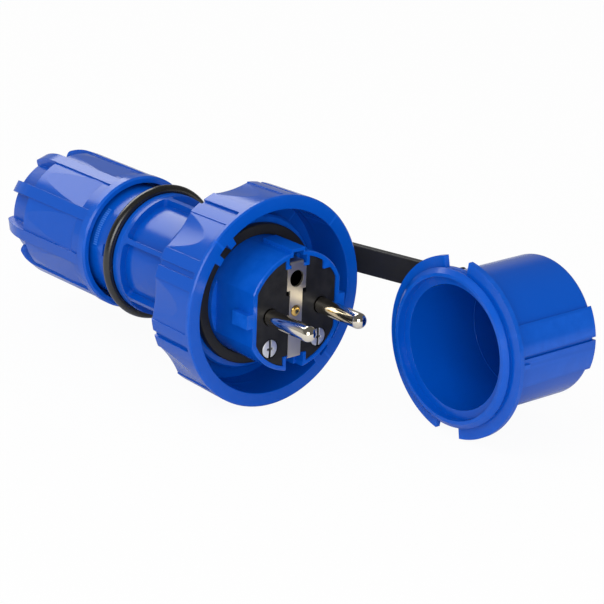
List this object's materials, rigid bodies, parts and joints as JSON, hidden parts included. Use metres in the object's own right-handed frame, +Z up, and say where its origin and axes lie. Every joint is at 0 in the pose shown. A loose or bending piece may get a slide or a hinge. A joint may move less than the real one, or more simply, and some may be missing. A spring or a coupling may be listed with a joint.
{
  "type": "waterproof mains plug",
  "caption": "Waterproof earthed mains plug with two round pins, a bayonet coupling ring, a screwed cable gland sleeve and a tethered sealing cap.",
  "frame": {"origin": "middle of the contact face, on the plug's axis and halfway between the two pins", "axes": "+X along the plug's axis towards the pin tips, +Y along the line of the pins towards the cap, +Z up with the earth socket above the pins"},
  "size_m": [0.1859, 0.0949, 0.0643],
  "materials": {
    "blue_plastic": "satin",
    "blue_ring": "satin",
    "blue_carrier": "satin",
    "blue_sleeve": "satin",
    "blue_cap": "satin",
    "black_face": "matte",
    "grey_plastic": "matte",
    "pin_nickel": "polished",
    "earth_nickel": "brushed",
    "socket_nickel": "brushed",
    "brass": "polished",
    "screw_steel": "zinc plated",
    "spring_steel": "satin",
    "black_rubber": "matte",
    "strap_rubber": "matte"
  },
  "bodies": {
    "housing": {"front_housing": "blue_plastic", "ring_retainer": "spring_steel", "contact_carrier": "blue_carrier", "face_plate": "black_face", "earth_strip": "earth_nickel", "earth_socket": "socket_nickel", "earth_rivet": "brass", "pin_left": "pin_nickel", "pin_right": "pin_nickel", "face_screws": "screw_steel", "line_terminal": "brass", "neutral_terminal": "brass", "earth_terminal": "brass", "terminal_screws": "screw_steel", "face_gasket": "black_rubber", "collar_seal": "black_rubber", "carrier_seal": "black_rubber"},
    "ring": {"coupling_ring": "blue_ring"},
    "clamp": {"clamp_cage": "grey_plastic", "cable_seal": "black_rubber", "slip_washer": "grey_plastic"},
    "sleeve": {"rear_sleeve": "blue_sleeve"},
    "eye": {"strap_eye": "strap_rubber"},
    "tethered_cap": {"strap": "strap_rubber", "cap": "blue_cap"}
  },
  "joints": [
    {"name": "ring_turn", "type": "hinge", "parent": "housing", "child": "ring", "pos_m": [-0.026, 0, 0], "axis": [1, 0, 0], "continuous": true},
    {"name": "clamp_slide", "type": "slide", "parent": "housing", "child": "clamp", "axis": [1, 0, 0], "range_m": [-0.002, 0.009]},
    {"name": "sleeve_turn", "type": "hinge", "parent": "clamp", "child": "sleeve", "pos_m": [-0.1, 0, 0], "axis": [1, 0, 0], "range_deg": [-60, 270]},
    {"name": "eye_turn", "type": "hinge", "parent": "housing", "child": "eye", "pos_m": [-0.032, 0, 0], "axis": [1, 0, 0], "continuous": true},
    {"name": "strap_flex", "type": "hinge", "parent": "eye", "child": "tethered_cap", "pos_m": [-0.032, 0.0284, 0.0051], "axis": [0, 0, 1], "range_deg": [0, 60]}
  ],
  "couplings": [
    {"joint": "clamp_slide", "follows": "sleeve_turn", "m_per_rad": 0.0019099}
  ]
}
